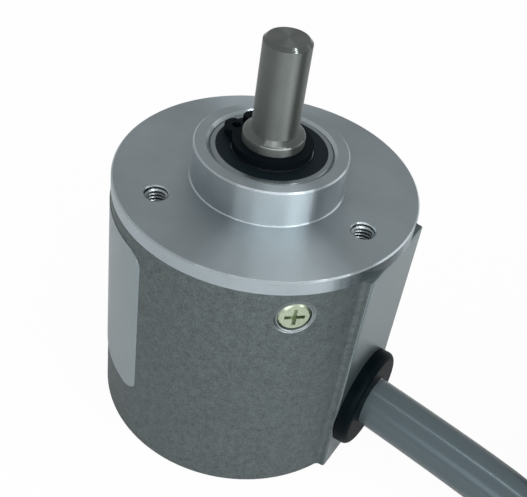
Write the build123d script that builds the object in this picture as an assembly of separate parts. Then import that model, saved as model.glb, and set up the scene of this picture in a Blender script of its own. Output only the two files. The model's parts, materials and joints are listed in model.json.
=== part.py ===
from build123d import *
from math import cos, degrees, pi, radians, sin, tan
import os

# A 40 mm shaft encoder: it stands on its rear face with the shaft up.
# The origin is the centre of the rear face, +Z runs along the shaft, and +X points
# out of the flat pad that the cable leaves through. All sizes are in millimetres.

# Housing
body_d = 40.0
body_length = 38.0          # rear face to mounting face
rim_thickness = 2.0         # edge of the front flange that shows above the cover
rim_chamfer = 0.2
boss_d = 20.0
boss_height = 5.0
boss_chamfer = 0.2
plug_depth = 6.0            # how far the flange reaches into the cover
bearing_tube_d = 21.0
bearing_tube_wall_below = 0.6   # tube edge that stands past the rear bearing

# Cover
cover_wall = 2.0
cover_rear_wall = 2.0
cover_edge = 0.3
pad_inset = 0.25            # the flat pad lies this far inside the body's radius
pad_width = 14.3
pad_corner = 0.4
pad_foot = 0.8              # round foot between the pad and the cylinder
pad_wall = 2.95             # pad to the flat that the gland is seated on inside
inner_flat_height = 15.0

# Mounting holes in the front face
mount_hole_count = 3
mount_edge = 5.0            # hole circle to the edge of the face
mount_bore_d = 3.0          # outer diameter of the M3 thread
mount_mouth_d = 3.35
mount_hole_depth = 6.0
mount_hole_angle = -5.0

# Cover screws
cover_screw_angles = (-46.0, 134.0)
cover_screw_drop = 5.6      # below the mounting face
cover_screw_head_d = 4.2
cover_screw_head_height = 1.3
cover_screw_d = 2.4
cover_screw_length = 5.5
screw_slot = 0.5
cross_share = 0.6           # length and depth of a cross slot, as shares of the head's width and height

# Bearings
bearing_d = 16.0
bearing_bore_d = 8.0
bearing_width = 5.0
ball_d = 1.588
ball_count = 7
race_gap = 0.05             # ball to its groove
inner_race_d = 10.6
outer_race_d = 13.4
seal_seat_d = 14.4
seal_thickness = 0.5
seal_lip_gap = 0.1
bearing_recess = 0.25       # front bearing below the boss face
bearing_mouth_d = 16.8
cage_wall = 0.5
cage_height = 1.3
pocket_gap = 0.06
bearing_spread = 6.75       # space between the two bearings
housing_shoulder_d = 14.0
wave_washer_gap = 0.8
wave_washer_thickness = 0.25
wave_crest_count = 3

# Shaft
shaft_d = 6.0
shaft_length = 15.0         # beyond the boss
shaft_tip_chamfer = 0.45
journal_d = 8.0
journal_above_boss = 2.1
journal_fillet = 0.4
shaft_collar_d = 9.4
shaft_collar_length = 3.0
ring_groove_d = 7.4
ring_thickness = 1.0
ring_body_d = 10.4
ring_lug_reach = 6.85
ring_lug_hole_d = 1.2
ring_lug_angle = 18.0       # each lug's place beside the gap
ring_gap_width = 1.3
ring_turn = 166.5           # where the gap points

# Code disc and its hub
hub_length = 6.1
hub_d = 14.0
hub_neck_d = 9.8
hub_neck_length = 1.0
disc_seat_d = 10.0
disc_thickness = 0.5
disc_clamp_thickness = 0.8
track_outer_d = 21.2
track_width = 1.8
track_edge = 0.8            # slots to the disc's edge
slot_count = 60
index_gap = 0.3             # slots to the index slot inside them
index_length = 0.8
set_screw_d = 2.0
set_screw_length = 2.6
set_screw_key = 1.0         # the socket's width across corners, and its depth

# Optical head, opposite the cable
head_angle = 180.0
head_width = 7.0
holder_hub_gap = 0.8
holder_cover_gap = 2.4
holder_tube_gap = 0.6
led_d = 3.0
led_length = 3.3
led_wire_d = 0.44
led_wire_spread = 1.2
led_wire_rise = 0.7         # straight piece of a leg above the lamp
led_wire_bend = 0.5
led_wire_gap = 1.3          # legs to the disc's edge
leg_channel_width = 2.6
leg_channel_depth = 1.6
head_disc_gap = 0.5
sensor_width = 5.2
sensor_length = 3.8
reticle_edge = 0.2
reticle_thickness = 0.5
reticle_window = 1.8
reticle_slot = 0.35
reticle_slot_count = 4
reticle_pitch = 1.0
sensor_disc_gap = 0.5

# Circuit board
board_gap = 0.6             # board to the cover
board_thickness = 1.6
board_flat_gap = 2.2        # flat of the board to the flat inside the cover
board_top = 16.0
post_inset = 3.1            # edge of the board to a post's middle
post_flats = 4.0
post_angles = (60.0, 150.0, 270.0)
post_stud_d = 1.9
post_stud_length = 3.0
board_screw_d = 1.8
board_screw_head_d = 3.4
board_screw_head_height = 1.2
board_screw_length = 5.0

chip_size = (5.0, 3.6, 1.2)
chip_foot = 0.15
chip_leg = 0.4
chip_leg_reach = 1.0
chip_leg_count = 4          # on each long side
line_driver_place = (6.5, -6.0)
signal_chip_place = (3.5, 7.0)
capacitor_d = 4.0
capacitor_length = 5.0
capacitor_foot_d = 4.4
capacitor_foot_length = 0.8
capacitor_places = ((-3.5, 12.0), (-9.5, -9.0))
header_place_x = -5.0
header_size = (6.0, 5.4)    # along the plug and away from the board
header_wall = 0.8
header_end = 1.0            # past the last wire
plug_size = (7.0, 3.2)
plug_end = 0.1
plug_place_x = -3.4
plug_socket_depth = 1.2

# Gland and cable
cable_d = 7.0
cable_height = 9.7
gland_flange_d = 14.4
gland_flange_thickness = 2.0
gland_edge = 0.9
gland_neck_d = 9.4
gland_lip_d = 10.8
gland_lip_thickness = 1.4
gland_lip_taper = 0.5
cable_inner_end = 12.0      # axis to where the jacket is cut inside
clamp_width = 2.4
clamp_wall = 0.9
clamp_inset = 0.6           # cut end of the jacket to the clamp
clamp_lock = (2.2, 3.0)     # height and width of its lock
wire_count = 5
wire_d = 1.1
wire_pitch = 2.0
wire_rows = (-0.6, 0.7)     # heights of the wires beside the cable's middle
wire_run = 3.0              # straight piece at each end of an inner wire
wire_bend = 2.0

# Bare label on the cover
label_angle = -105.4        # its right edge
label_arc = 34.0            # width along the cover
label_bottom = 9.0
label_top = 34.0
label_thickness = 0.1
label_corner = 2.0

# Bearing rings
outer_ring_chamfer = 0.25
seat_shoulder = 1.0         # how far a seal's seat cuts inside the race

# Clearances
fit_gap = 0.01              # located parts, per side
slide_gap = 0.05            # parts that turn or slip past each other, per side
face_gap = 0.1              # parts that end short of each other

# Heights that follow from the sizes above
body_r = body_d / 2
pad_offset = body_r - pad_inset
inner_flat_offset = pad_offset - pad_wall
mount_circle_r = body_r - mount_edge
boss_top = body_length + boss_height
cover_top = body_length - rim_thickness
plug_bottom = cover_top - plug_depth
cavity_r = body_r - cover_wall
front_bearing_top = boss_top - bearing_recess
front_bearing_bottom = front_bearing_top - bearing_width
rear_bearing_top = front_bearing_bottom - bearing_spread
rear_bearing_bottom = rear_bearing_top - bearing_width
tube_bottom = rear_bearing_bottom - bearing_tube_wall_below
ring_bottom = front_bearing_top + face_gap
journal_top = boss_top + journal_above_boss
shaft_top = boss_top + shaft_length
hub_bottom = rear_bearing_bottom - hub_length
disc_bottom = hub_bottom - disc_thickness
clamp_bottom = disc_bottom - disc_clamp_thickness
board_bottom = board_top - board_thickness
screw_height = body_length - cover_screw_drop
ball_circle_r = (inner_race_d + outer_race_d) / 4
gland_face = pad_offset + gland_flange_thickness
track_outer_r = track_outer_d / 2
track_inner_r = track_outer_r - track_width
track_r = (track_outer_r + track_inner_r) / 2
disc_r = track_outer_r + track_edge
index_outer_r = track_inner_r - index_gap
led_wire_reach = disc_r + led_wire_gap
lamp_bottom = hub_bottom + head_disc_gap + face_gap
sensor_top = disc_bottom - sensor_disc_gap - reticle_thickness
board_r = cavity_r - board_gap
board_flat = inner_flat_offset - board_flat_gap
post_circle_r = board_r - post_inset
plug_height = board_bottom - header_size[1] / 2

# Free cable: it leaves the gland, sinks to the surface and runs into a coil of three layers
cable_r = cable_d / 2
coil_layer_count = 3
coil_layer_turn_count = 2
coil_pitch = 7.2            # between turns that lie side by side
coil_first_r = 41.5         # the first turn, on the outside of the lowest layer
coil_outer_r = coil_first_r + cable_r
coil_inner_r = coil_first_r - coil_pitch * coil_layer_turn_count - cable_r
coil_height = coil_layer_count * cable_d
coil_entry = (66.9, -10.55) # where the cable meets the coil
coil_entry_turn = 60.0      # direction from there to the coil's middle
coil_entry_gap = 0.7
coil_x = coil_entry[0] + (coil_first_r + coil_entry_gap) * cos(radians(coil_entry_turn))
coil_y = coil_entry[1] + (coil_first_r + coil_entry_gap) * sin(radians(coil_entry_turn))
cable_points = [
    (gland_face, 0.0, cable_height),
    (40.0, -1.8, 9.2),
    (49.5, -3.0, 7.7),
    (58.0, -5.6, 4.9),
    (*coil_entry, cable_r),
]
tail_turn = -75.0           # the tail's line, turned about the coil's centre
tail_length = 12.0          # end of the jacket, on top of the coil
tail_reach = 34.0           # coil centre to the line that the tail lies on
sleeve_length = 10.0
sleeve_wall = 0.4
tail_height = cable_r + sleeve_wall + 2 * fit_gap
lead_length = 20.0
lead_straight = 4.0
lead_landing = 12.0         # where a lead meets the coil
lead_bend = 5.0
lead_spread = (1.8, 2.1)    # how far the leads have fanned out there and at their tips
lead_tip_d = 0.7
lead_tip_length = 5.0


def at_angle(angle, radius=0.0, height=0.0):
    """A place on the circle of this radius, turned so that its own X points outwards."""
    return Rot(0, 0, angle) * Pos(radius, 0, height)


def turned(points):
    """Revolve a closed outline of (radius, height) points about the shaft axis."""
    outline = Polyline(*[(r, 0, z) for r, z in points], close=True)
    return revolve(make_face(outline), Axis.Z)


def ring(outer_r, inner_r, bottom, top):
    """A plain ring about the shaft axis."""
    return Pos(0, 0, bottom) * extrude(Circle(outer_r) - Circle(inner_r), top - bottom)


def radial_pin(angle, radius, height, pin_r, length):
    """A round pin whose outer end lies at this radius and which points at the axis."""
    pin = Cylinder(pin_r, length, align=(Align.CENTER, Align.CENTER, Align.MAX))
    return at_angle(angle, radius, height) * Rot(0, 90, 0) * pin


def front_flange():
    """Turned flange with the boss, the plug in the cover and the bearing tube."""
    bore_r = bearing_d / 2 + fit_gap
    step_r = housing_shoulder_d / 2
    mouth_r = bearing_mouth_d / 2
    boss_r = boss_d / 2
    plug_r = cavity_r - slide_gap
    tube_r = bearing_tube_d / 2
    wave_top = rear_bearing_top + wave_washer_gap
    body = turned([
        (mouth_r, boss_top),
        (boss_r - boss_chamfer, boss_top),
        (boss_r, boss_top - boss_chamfer),
        (boss_r, body_length),
        (body_r - rim_chamfer, body_length),
        (body_r, body_length - rim_chamfer),
        (body_r, cover_top),
        (plug_r, cover_top),
        (plug_r, plug_bottom),
        (tube_r, plug_bottom),
        (tube_r, tube_bottom),
        (bore_r, tube_bottom),
        (bore_r, wave_top),
        (step_r, wave_top),
        (step_r, front_bearing_bottom),
        (bore_r, front_bearing_bottom),
        (bore_r, boss_top - (mouth_r - bore_r)),
    ])
    for i in range(mount_hole_count):
        place = at_angle(mount_hole_angle + 360 / mount_hole_count * i, mount_circle_r, body_length)
        body -= place * Pos(0, 0, -mount_hole_depth / 2) * Cylinder(mount_bore_d / 2, mount_hole_depth)
        mouth_depth = (mount_mouth_d - mount_bore_d) / 2
        body -= place * Pos(0, 0, -mouth_depth / 2) * Cone(mount_bore_d / 2, mount_mouth_d / 2, mouth_depth)
    for angle in cover_screw_angles:
        body -= radial_pin(angle, body_r, screw_height, cover_screw_d / 2 + fit_gap, cover_screw_length + cover_wall)
    for angle in post_angles:
        stud = Pos(0, 0, (post_stud_length + face_gap) / 2) * Cylinder(post_stud_d / 2 + fit_gap,
                                                                      post_stud_length + face_gap)
        body -= at_angle(angle, post_circle_r, plug_bottom) * stud
    return body


def cover_block():
    """Outside of the cover: a round section with the flat cable pad standing out of it."""
    pad_depth = body_r / 2
    outline = Circle(body_r) - Pos(pad_offset + body_r, 0) * Rectangle(2 * body_r, body_d)
    outline += Pos(pad_offset - pad_depth / 2, 0) * Rectangle(pad_depth, pad_width)
    block = extrude(outline, cover_top)
    upright = block.edges().filter_by(Axis.Z).filter_by(lambda edge: abs(abs(edge.center().Y) - pad_width / 2) < 0.01)
    corners = upright.filter_by(lambda edge: edge.center().X > pad_offset - 0.01)
    block = fillet(corners, pad_corner)
    upright = block.edges().filter_by(Axis.Z).filter_by(lambda edge: abs(abs(edge.center().Y) - pad_width / 2) < 0.01)
    feet = upright.sort_by(Axis.X)[:2]
    return fillet(feet, pad_foot)


def cover():
    """Cup over the works: round wall, rear wall, cable pad and screw seats."""
    shell = cover_block()
    shell = chamfer(shell.faces().sort_by(Axis.Z)[0].outer_wire().edges(), cover_edge)
    cavity = Pos(0, 0, cover_rear_wall) * extrude(Circle(cavity_r), cover_top)
    flat_zone = Pos(inner_flat_offset + cavity_r, 0, inner_flat_height / 2 + cover_rear_wall)
    cavity -= flat_zone * Box(2 * cavity_r, body_d, inner_flat_height)
    shell -= cavity
    shell -= Pos(pad_offset, 0, cable_height) * Rot(0, 90, 0) * Cylinder(gland_neck_d / 2 + slide_gap, body_r)
    for angle in cover_screw_angles:
        shell -= radial_pin(angle, body_r + 1, screw_height, cover_screw_d / 2 + slide_gap, cover_wall + 2)
        shell -= radial_pin(angle, body_r + 1, screw_height, cover_screw_head_d / 2 + slide_gap,
                            1 + cover_screw_head_height)
    return shell


def cross_slot(size, depth):
    """The cross recess of a small screw, cut down from z = 0."""
    bars = Box(size, screw_slot, depth) + Box(screw_slot, size, depth)
    return Pos(0, 0, -depth / 2) * bars


def pan_screw(head_d, head_height, shank_d, length):
    """A screw with its head's top at z = 0 and its shank downwards."""
    edge = head_height / 4
    head = Pos(0, 0, -head_height / 2) * Cylinder(head_d / 2, head_height)
    head = chamfer(head.edges().sort_by(Axis.Z)[-1], edge)
    screw = head + Pos(0, 0, -head_height - length / 2) * Cylinder(shank_d / 2, length)
    return screw - cross_slot(head_d * cross_share, head_height * cross_share)


def cover_screws():
    """Screws that hold the cover on the flange's plug."""
    shank = cover_screw_length + cover_wall - cover_screw_head_height - face_gap
    screw = pan_screw(cover_screw_head_d, cover_screw_head_height, cover_screw_d, shank)
    return [at_angle(angle, body_r, screw_height) * Rot(0, 90, 0) * screw for angle in cover_screw_angles]


def label():
    """Bare plate bent round the cover."""
    turn = degrees(label_arc / body_r)
    height = label_top - label_bottom
    plate = ring(body_r + label_thickness, body_r, label_bottom, label_top)
    start = at_angle(label_angle) * Pos(0, -body_r, 0) * Box(4 * body_r, 2 * body_r, 4 * height)
    middle = at_angle(label_angle - turn / 2, body_r, label_bottom + height / 2)
    blank = extrude(Plane.YZ * RectangleRounded(2 * body_r * sin(radians(turn / 2)), height, label_corner),
                    body_r, both=True)
    return plate & start & (middle * blank)


def race_groove(bottom):
    """The round track that the balls of one bearing run in."""
    section = Pos(ball_circle_r, 0, bottom + bearing_width / 2) * Rot(90, 0, 0) * Circle(ball_d / 2 + race_gap)
    return revolve(section, Axis.Z)


def outer_ring(bottom):
    """Outer bearing ring with a seal seat at each side."""
    top = bottom + bearing_width
    body = ring(bearing_d / 2, outer_race_d / 2, bottom, top)
    seat_inner_r = outer_race_d / 2 - seat_shoulder
    body -= ring(seal_seat_d / 2, seat_inner_r, top - seal_thickness - fit_gap, top)
    body -= ring(seal_seat_d / 2, seat_inner_r, bottom, bottom + seal_thickness + fit_gap)
    body = chamfer(body.edges().filter_by(GeomType.CIRCLE).group_by(SortBy.RADIUS)[-1], outer_ring_chamfer)
    return body - race_groove(bottom)


def inner_ring(bottom):
    """Inner bearing ring, seated on the shaft."""
    body = ring(inner_race_d / 2, bearing_bore_d / 2 + fit_gap, bottom, bottom + bearing_width)
    return body - race_groove(bottom)


def seals(bottom):
    """The two seals of one bearing."""
    top = bottom + bearing_width
    outer_r = seal_seat_d / 2 - fit_gap
    inner_r = inner_race_d / 2 + seal_lip_gap
    return [
        ring(outer_r, inner_r, top - seal_thickness, top),
        ring(outer_r, inner_r, bottom, bottom + seal_thickness),
    ]


def ball_places(bottom):
    """The centres of one bearing's balls."""
    return [at_angle(360 / ball_count * i, ball_circle_r, bottom + bearing_width / 2) for i in range(ball_count)]


def balls(bottom):
    """The balls of one bearing."""
    return [place * Sphere(ball_d / 2) for place in ball_places(bottom)]


def ball_cage(bottom):
    """Ribbon cage that spaces the balls of one bearing."""
    middle = bottom + bearing_width / 2
    body = ring(ball_circle_r + cage_wall / 2, ball_circle_r - cage_wall / 2,
                middle - cage_height / 2 - ball_d / 4, middle + cage_height / 2 - ball_d / 4)
    for place in ball_places(bottom):
        body -= place * Rot(0, 90, 0) * Cylinder(ball_d / 2 + pocket_gap, 3 * cage_wall)
    return body


def wave_washer():
    """Spring washer that loads the rear bearing, between it and the housing shoulder."""
    outer_r = bearing_d / 2 - slide_gap
    inner_r = housing_shoulder_d / 2 + slide_gap
    middle = rear_bearing_top + wave_washer_gap / 2
    swing = (wave_washer_gap - wave_washer_thickness) / 2 - slide_gap
    step_count = 8 * wave_crest_count
    rails = []
    for radius in (inner_r, outer_r):
        points = []
        for i in range(step_count):
            turn = 2 * pi * i / step_count
            points.append((radius * cos(turn), radius * sin(turn), middle + swing * cos(wave_crest_count * turn)))
        rails.append(Spline(*points, periodic=True))
    sheet = Face.make_surface_from_curves(rails[0].edge(), rails[1].edge())
    return thicken(sheet, wave_washer_thickness / 2, normal_override=(0, 0, 1), both=True)


def shaft():
    """Shaft with its journal, the collar between the bearings and the ring groove."""
    journal_r = journal_d / 2
    tip_r = shaft_d / 2
    collar_bottom = front_bearing_bottom - shaft_collar_length
    groove_top = ring_bottom + ring_thickness + fit_gap * 2
    body = turned([
        (0, clamp_bottom),
        (journal_r, clamp_bottom),
        (journal_r, collar_bottom),
        (shaft_collar_d / 2, collar_bottom),
        (shaft_collar_d / 2, front_bearing_bottom),
        (journal_r, front_bearing_bottom),
        (journal_r, ring_bottom - fit_gap),
        (ring_groove_d / 2, ring_bottom - fit_gap),
        (ring_groove_d / 2, groove_top),
        (journal_r, groove_top),
        (journal_r, journal_top),
        (tip_r, journal_top + (journal_r - tip_r) / 2),
        (tip_r, shaft_top - shaft_tip_chamfer),
        (tip_r - shaft_tip_chamfer, shaft_top),
        (0, shaft_top),
    ])
    shoulder = body.edges().filter_by(GeomType.CIRCLE).filter_by_position(
        Axis.Z, journal_top - 0.01, journal_top + 0.01)
    return fillet(shoulder, journal_fillet)


def retaining_ring():
    """Spring ring in the shaft groove, with a lug and its hole at each side of the gap."""
    lug_r = (ring_lug_reach - ring_groove_d / 2) / 2
    lug_place = ring_lug_reach - lug_r
    outline = Circle(ring_body_d / 2)
    for side in (-1, 1):
        outline += Rot(0, 0, side * ring_lug_angle) * Pos(lug_place, 0) * Circle(lug_r)
    outline -= Circle(ring_groove_d / 2 + fit_gap)
    outline -= Pos(ring_groove_d / 2 + lug_r, 0) * Rectangle(3 * lug_r, ring_gap_width)
    for side in (-1, 1):
        outline -= Rot(0, 0, side * ring_lug_angle) * Pos(lug_place, 0) * Circle(ring_lug_hole_d / 2)
    return at_angle(ring_turn, 0, ring_bottom) * extrude(outline, ring_thickness)


def bearing_spacer():
    """Sleeve on the shaft between the collar and the rear bearing."""
    top = front_bearing_bottom - shaft_collar_length
    return ring(shaft_collar_d / 2, journal_d / 2 + fit_gap, rear_bearing_top, top)


def disc_hub():
    """Hub that clamps on the shaft and carries the code disc."""
    bore_r = journal_d / 2 + fit_gap
    neck_bottom = rear_bearing_bottom - hub_neck_length
    seat_r = disc_seat_d / 2
    body = turned([
        (bore_r, clamp_bottom),
        (seat_r, clamp_bottom),
        (seat_r, hub_bottom),
        (hub_d / 2, hub_bottom),
        (hub_d / 2, neck_bottom),
        (hub_neck_d / 2, neck_bottom),
        (hub_neck_d / 2, rear_bearing_bottom),
        (bore_r, rear_bearing_bottom),
    ])
    height = (hub_bottom + neck_bottom) / 2
    for turn in (0, 90):
        body -= radial_pin(turn, hub_d / 2, height, set_screw_d / 2 + fit_gap, hub_d / 2)
    return body


def hub_set_screws():
    """The two grub screws that hold the hub on the shaft."""
    height = (hub_bottom + rear_bearing_bottom - hub_neck_length) / 2
    outer = journal_d / 2 + fit_gap + set_screw_length
    screws = []
    for turn in (0, 90):
        screw = radial_pin(turn, outer, height, set_screw_d / 2, set_screw_length)
        socket = at_angle(turn, outer, height) * Rot(0, 90, 0)
        socket *= Pos(0, 0, -set_screw_key) * extrude(RegularPolygon(set_screw_key / 2, 6), 2 * set_screw_key)
        screws.append(screw - socket)
    return screws


def sector(inner_r, outer_r, half_turn):
    """A slot of straight sides between two circles, centred on +X."""
    rise = sin(radians(half_turn))
    run = cos(radians(half_turn))
    corners = [(inner_r * run, -inner_r * rise), (outer_r * run, -outer_r * rise),
               (outer_r * run, outer_r * rise), (inner_r * run, inner_r * rise)]
    return make_face(Polyline(*corners, close=True))


def code_disc():
    """Slotted disc: a ring of equal slots and one index slot inside it."""
    bore_r = disc_seat_d / 2 + slide_gap
    disc = Circle(disc_r) - Circle(bore_r)
    half_turn = 360 / slot_count / 4
    slot = sector(track_inner_r, track_outer_r, half_turn)
    disc -= [Rot(0, 0, 360 / slot_count * i) * slot for i in range(slot_count)]
    disc -= sector(index_outer_r - index_length, index_outer_r, 2 * half_turn)
    return Pos(0, 0, disc_bottom) * extrude(disc, disc_thickness)


def disc_clamp():
    """Ring that holds the code disc against the hub."""
    return ring(hub_d / 2, disc_seat_d / 2 + slide_gap, clamp_bottom, disc_bottom)


def led_holder():
    """Bracket under the flange that holds the lamp above the code disc."""
    inner = hub_d / 2 + holder_hub_gap
    outer = cavity_r - holder_cover_gap
    bottom = lamp_bottom - face_gap
    ledge_top = bottom + led_length - face_gap
    body = Pos((inner + outer) / 2, 0, (bottom + plug_bottom) / 2) * Box(
        outer - inner, head_width, plug_bottom - bottom)
    body -= Pos(0, 0, ledge_top) * Cylinder(
        bearing_tube_d / 2 + holder_tube_gap, plug_bottom, align=(Align.CENTER, Align.CENTER, Align.MIN))
    body -= Pos(track_r, 0, bottom) * Cylinder(led_d / 2 + slide_gap, 3 * led_length)
    channel_inner = bearing_tube_d / 2
    channel_outer = led_wire_reach + leg_channel_depth / 2
    body -= Pos((channel_inner + channel_outer) / 2, 0, (ledge_top + plug_bottom) / 2) * Box(
        channel_outer - channel_inner, leg_channel_width, plug_bottom - ledge_top)
    body -= Pos(led_wire_reach, 0, bottom) * Box(leg_channel_depth, leg_channel_width, 3 * led_length)
    return at_angle(head_angle) * body


def led_emitter():
    """Lamp with a round lens that faces the disc."""
    dome_r = led_d / 2
    body = Cylinder(dome_r, led_length - dome_r, align=(Align.CENTER, Align.CENTER, Align.MIN)) + Sphere(dome_r)
    return at_angle(head_angle, track_r, lamp_bottom + dome_r) * body


def led_wires():
    """The lamp's two legs, bent out past the disc and down to the board."""
    top = lamp_bottom + led_length
    bend = top + led_wire_rise
    wires = []
    for side in (-led_wire_spread / 2, led_wire_spread / 2):
        path = FilletPolyline(
            (track_r, side, top),
            (track_r, side, bend),
            (led_wire_reach, side, bend),
            (led_wire_reach, side, board_top),
            radius=led_wire_bend)
        section = Plane(origin=path @ 0, z_dir=path % 0) * Circle(led_wire_d / 2)
        wires.append(at_angle(head_angle) * sweep(section, path))
    return wires


def photo_sensor():
    """Light receiver on the board, under the code disc."""
    body = Box(sensor_length, sensor_width, sensor_top - board_top)
    return at_angle(head_angle, track_r, (board_top + sensor_top) / 2) * body


def reticle():
    """Small slotted mask on the receiver."""
    plate = Rectangle(sensor_length - 2 * reticle_edge, sensor_width - 2 * reticle_edge)
    for i in range(reticle_slot_count):
        offset = (i - (reticle_slot_count - 1) / 2) * reticle_pitch
        plate -= Pos(0, offset) * Rectangle(reticle_window, reticle_slot)
    return at_angle(head_angle, track_r, sensor_top) * extrude(plate, reticle_thickness)


def circuit_board():
    """Round board with a flat at the cable side and its fixing holes."""
    outline = Circle(board_r) - Pos(board_flat + board_r, 0) * Rectangle(2 * board_r, 2 * board_r)
    for angle in post_angles:
        outline -= Rot(0, 0, angle) * Pos(post_circle_r, 0) * Circle(board_screw_d / 2 + slide_gap)
    return Pos(0, 0, board_bottom) * extrude(outline, board_thickness)


def board_posts():
    """Hexagonal posts between the board and the flange."""
    height = plug_bottom - board_top
    post = extrude(RegularPolygon(post_flats / 2, 6, major_radius=False), height)
    post += Pos(0, 0, height + post_stud_length / 2) * Cylinder(post_stud_d / 2, post_stud_length)
    hole_depth = board_screw_length
    post -= Pos(0, 0, hole_depth / 2) * Cylinder(board_screw_d / 2 + fit_gap, hole_depth)
    return [at_angle(angle, post_circle_r, board_top) * post for angle in post_angles]


def board_screws():
    """Screws under the board, up into the posts."""
    length = board_screw_length + board_thickness - face_gap
    screw = pan_screw(board_screw_head_d, board_screw_head_height, board_screw_d, length)
    place = Pos(0, 0, board_bottom - board_screw_head_height) * Rot(180, 0, 0)
    return [at_angle(angle, post_circle_r) * place * screw for angle in post_angles]


def chip():
    """A chip body with a row of legs along each long side, standing on z = 0."""
    width, depth, height = chip_size
    body = Pos(0, 0, chip_foot + height / 2) * Box(width, depth, height)
    leg_top = chip_foot + height / 2
    leg_place = (depth + chip_leg) / 2
    for i in range(chip_leg_count):
        along = width / chip_leg_count * (i + 0.5) - width / 2
        for side in (-1, 1):
            body += Pos(along, side * leg_place, leg_top / 2) * Box(chip_leg, chip_leg_reach, leg_top)
    return body


def line_driver():
    """Output chip on top of the board."""
    return Pos(*line_driver_place, board_top) * chip()


def signal_chip():
    """Comparator chip on top of the board."""
    return Pos(*signal_chip_place, board_top) * chip()


def board_capacitors():
    """Two round capacitors under the board."""
    hang = (Align.CENTER, Align.CENTER, Align.MAX)
    can = Cylinder(capacitor_d / 2, capacitor_length, align=hang)
    can += Cylinder(capacitor_foot_d / 2, capacitor_foot_length, align=hang)
    return [Pos(x, y, board_bottom) * can for x, y in capacitor_places]


def wire_header():
    """Pin housing under the board, open towards the plug."""
    width, depth = header_size
    length = wire_pitch * wire_count + 2 * header_end
    hollow = Box(width, length - 2 * header_wall, depth - 2 * header_wall)
    body = Box(width, length, depth) - Pos(header_wall, 0, 0) * hollow
    return Pos(header_place_x, 0, board_bottom - depth / 2) * body


def wire_plug():
    """Plug on the inner wires, pushed into the pin housing."""
    width, depth = plug_size
    body = Box(width, wire_pitch * wire_count + 2 * plug_end, depth)
    for i in range(wire_count):
        offset = (i - (wire_count - 1) / 2) * wire_pitch
        body -= Pos(width / 2, offset, 0) * Rot(0, 90, 0) * Cylinder(
            wire_d / 2 + slide_gap, 2 * plug_socket_depth)
    return Pos(plug_place_x, 0, plug_height) * body


def inner_wires():
    """Insulated wires from the end of the jacket to the plug."""
    end_x = plug_place_x + plug_size[0] / 2 - plug_socket_depth + face_gap
    wires = []
    for i in range(wire_count):
        place = i - (wire_count - 1) / 2
        start_y = place * (wire_d + slide_gap)
        start_z = cable_height + wire_rows[i % 2]
        end_y = place * wire_pitch
        path = FilletPolyline(
            (cable_inner_end, start_y, start_z),
            (cable_inner_end - wire_run, start_y, start_z),
            (end_x + wire_run, end_y, plug_height),
            (end_x, end_y, plug_height),
            radius=wire_bend)
        section = Plane(origin=path @ 0, z_dir=path % 0) * Circle(wire_d / 2)
        wires.append(sweep(section, path))
    return wires


def cable_gland():
    """Rubber bush: round flange outside, neck in the wall and lip inside."""
    bore_r = cable_r + fit_gap
    flange_r = gland_flange_d / 2
    neck_r = gland_neck_d / 2
    outline = Polyline(
        (bore_r, 0, inner_flat_offset - gland_lip_thickness),
        (gland_lip_d / 2 - gland_lip_taper, 0, inner_flat_offset - gland_lip_thickness),
        (gland_lip_d / 2, 0, inner_flat_offset - fit_gap),
        (neck_r, 0, inner_flat_offset - fit_gap),
        (neck_r, 0, pad_offset),
        (flange_r, 0, pad_offset),
        (flange_r, 0, gland_face),
        (bore_r, 0, gland_face),
        close=True)
    body = revolve(make_face(outline), Axis.Z)
    outer_edge = body.edges().filter_by(GeomType.CIRCLE).group_by(Axis.Z)[-1].sort_by(SortBy.RADIUS)[-1]
    body = fillet(outer_edge, gland_edge)
    return Pos(0, 0, cable_height) * Rot(0, 90, 0) * body


def cable_entry():
    """The cable inside the gland and the cover."""
    length = gland_face - cable_inner_end
    return Pos(cable_inner_end + length / 2, 0, cable_height) * Rot(0, 90, 0) * Cylinder(cable_r, length)


def cable_clamp():
    """Band round the jacket inside the cover, which keeps it from being pulled out."""
    outer_r = cable_r + clamp_wall
    band = extrude(Circle(outer_r) - Circle(cable_r + fit_gap), clamp_width)
    lock_height, lock_width = clamp_lock
    lock = Pos(cable_r + lock_height / 2, 0, clamp_width / 2) * Box(lock_height, lock_width, clamp_width)
    lock -= Cylinder(cable_r + fit_gap, 4 * clamp_width)
    return Pos(cable_inner_end + clamp_inset, 0, cable_height) * Rot(0, 90, 0) * (band + lock)


def largest_radii(points):
    """The largest tangent arc that each inner corner of a route has room for."""
    radii = []
    for before, corner, after in zip(points, points[1:], points[2:]):
        first = Vector(*corner) - Vector(*before)
        second = Vector(*after) - Vector(*corner)
        turn = radians(first.get_angle(second))
        radii.append(0.45 * min(first.length, second.length) / tan(turn / 2))
    return radii


def cable():
    """Free cable from the gland to the coil."""
    radii = largest_radii(cable_points)
    path = FilletPolyline(*cable_points, radius=radii)
    section = Plane(origin=path @ 0, z_dir=path % 0) * Circle(cable_r)
    tube = sweep(section, path)
    print("cable arcs", [round(r, 1) for r in radii], "length", round(path.length, 1),
          "volume ratio", round(tube.volume / (pi * cable_r ** 2 * path.length), 4))
    return tube


def cable_coil():
    """Outer shape of the coil that the rest of the cable is wound into."""
    coil = ring(coil_outer_r, coil_inner_r, 0, coil_height)
    return Pos(coil_x, coil_y, 0) * chamfer(coil.edges(), cable_r / 2)


def on_coil(distance, height=0.0):
    """A place on top of the coil, this far along the tail's straight line."""
    coil_top = Pos(coil_x, coil_y, coil_height + height) * Rot(0, 0, tail_turn)
    return coil_top * Pos(-tail_reach, tail_length - distance, 0) * Rot(90, 0, 0)


def cable_tail():
    """Last piece of the jacket, lying on the coil."""
    return on_coil(0, tail_height) * Cylinder(cable_r, tail_length, align=(Align.CENTER, Align.CENTER, Align.MIN))


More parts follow.
